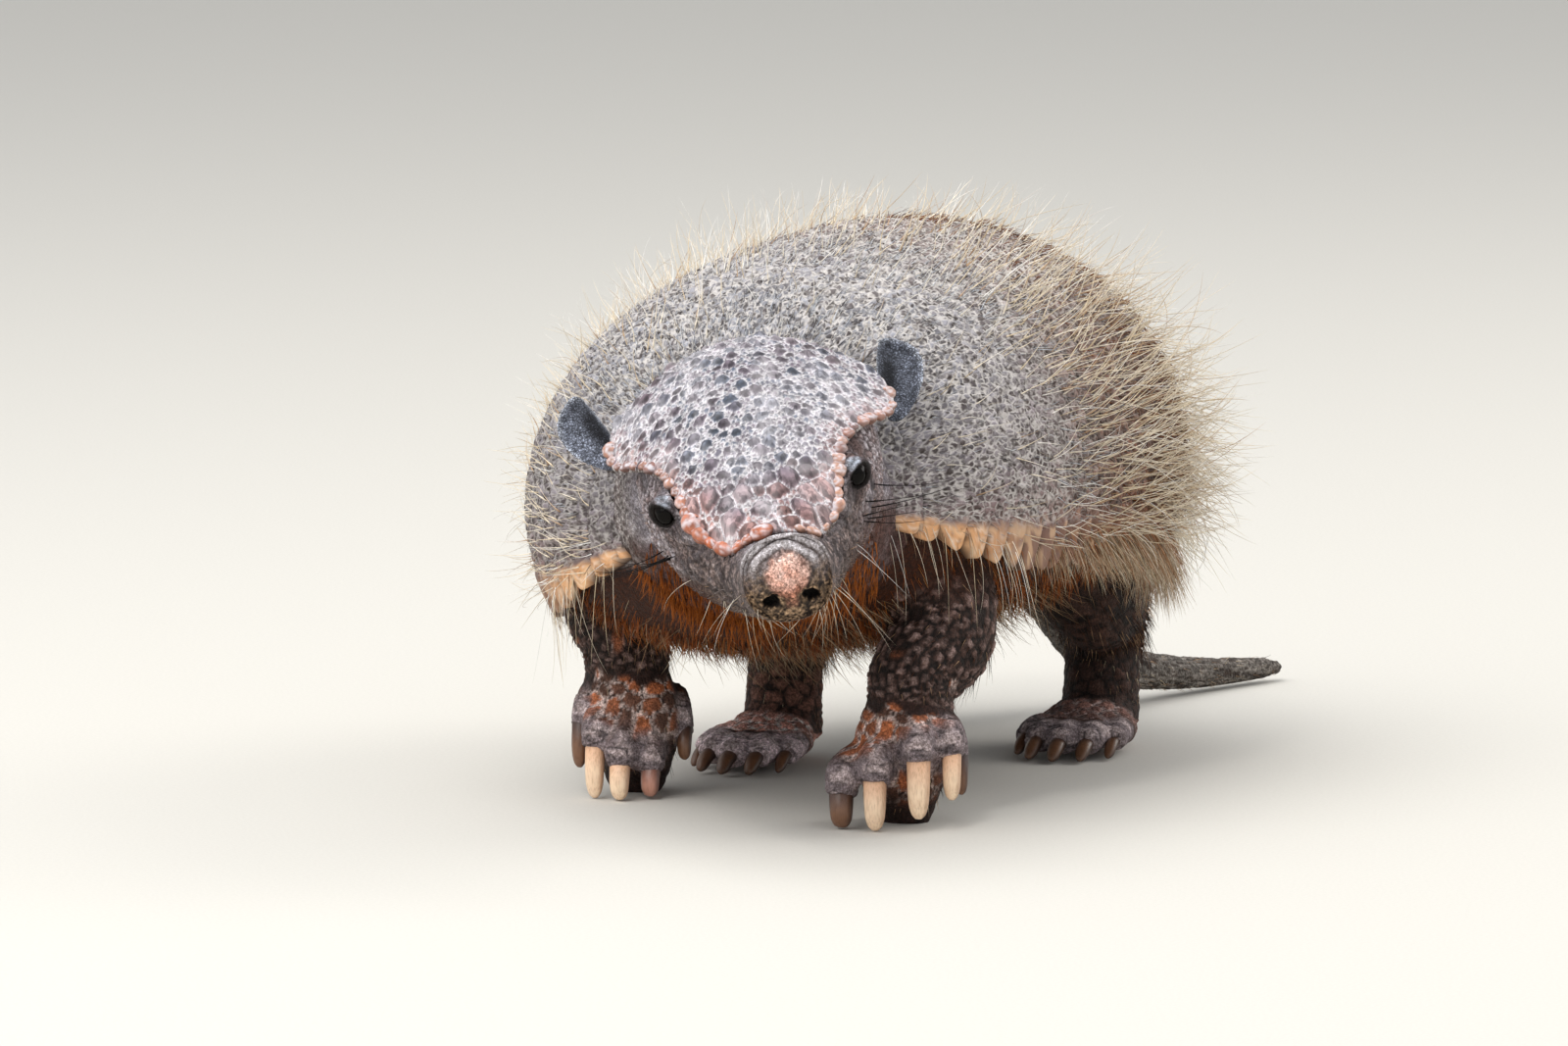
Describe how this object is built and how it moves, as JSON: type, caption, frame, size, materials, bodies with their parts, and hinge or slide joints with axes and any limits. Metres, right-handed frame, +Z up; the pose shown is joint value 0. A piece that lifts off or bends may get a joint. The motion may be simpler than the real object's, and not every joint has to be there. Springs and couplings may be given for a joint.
{
  "type": "hairy armadillo model",
  "caption": "Life-size still model of a walking armadillo with its head turned: armoured shields and bands, clawed feet, ears and tail.",
  "frame": {"origin": "on the floor under the middle of the whole animal's bounding box", "axes": "+Z up, -Y the way the animal walks, +X towards its left side"},
  "size_m": [0.1906, 0.4542, 0.1774],
  "materials": {
    "skin": "wrinkled grey face skin",
    "underside": "rusty brown skin under sparse hair",
    "leg": "dark skin with small scales",
    "shell": "dull horn scutes with pale seams",
    "head_shield": "dull horn scutes, orange at the rim",
    "ear": "granular slate grey skin",
    "eye": "wet black",
    "claw": "pale horn",
    "dark_claw": "dark horn"
  },
  "bodies": {
    "root": {"trunk": "underside", "nuchal_band": "shell", "scapular_shield": "shell", "shell_band_1": "shell", "shell_band_2": "shell", "shell_band_3": "shell", "shell_band_4": "shell", "shell_band_5": "shell", "shell_band_6": "shell", "shell_band_7": "shell", "pelvic_shield": "shell", "head": "skin", "head_shield": "head_shield", "ear_left": "ear", "ear_right": "ear", "eye_left": "eye", "eye_right": "eye", "claw_left_1": "dark_claw", "claw_left_2": "claw", "claw_left_3": "claw", "claw_left_4": "claw", "claw_left_5": "dark_claw", "forefoot_left": "leg", "foreleg_left": "leg", "claw_right_1": "dark_claw", "claw_right_2": "claw", "claw_right_3": "claw", "claw_right_4": "claw", "claw_right_5": "dark_claw", "forefoot_right": "leg", "foreleg_right": "leg", "claw_hind_left_1": "dark_claw", "claw_hind_left_2": "dark_claw", "claw_hind_left_3": "dark_claw", "claw_hind_left_4": "dark_claw", "claw_hind_left_5": "dark_claw", "hindfoot_left": "leg", "hindleg_left": "leg", "claw_hind_right_1": "dark_claw", "claw_hind_right_2": "dark_claw", "claw_hind_right_3": "dark_claw", "claw_hind_right_4": "dark_claw", "claw_hind_right_5": "dark_claw", "hindfoot_right": "leg", "hindleg_right": "leg", "tail_base": "leg", "tail_tip": "leg", "neck": "skin"}
  },
  "joints": []
}
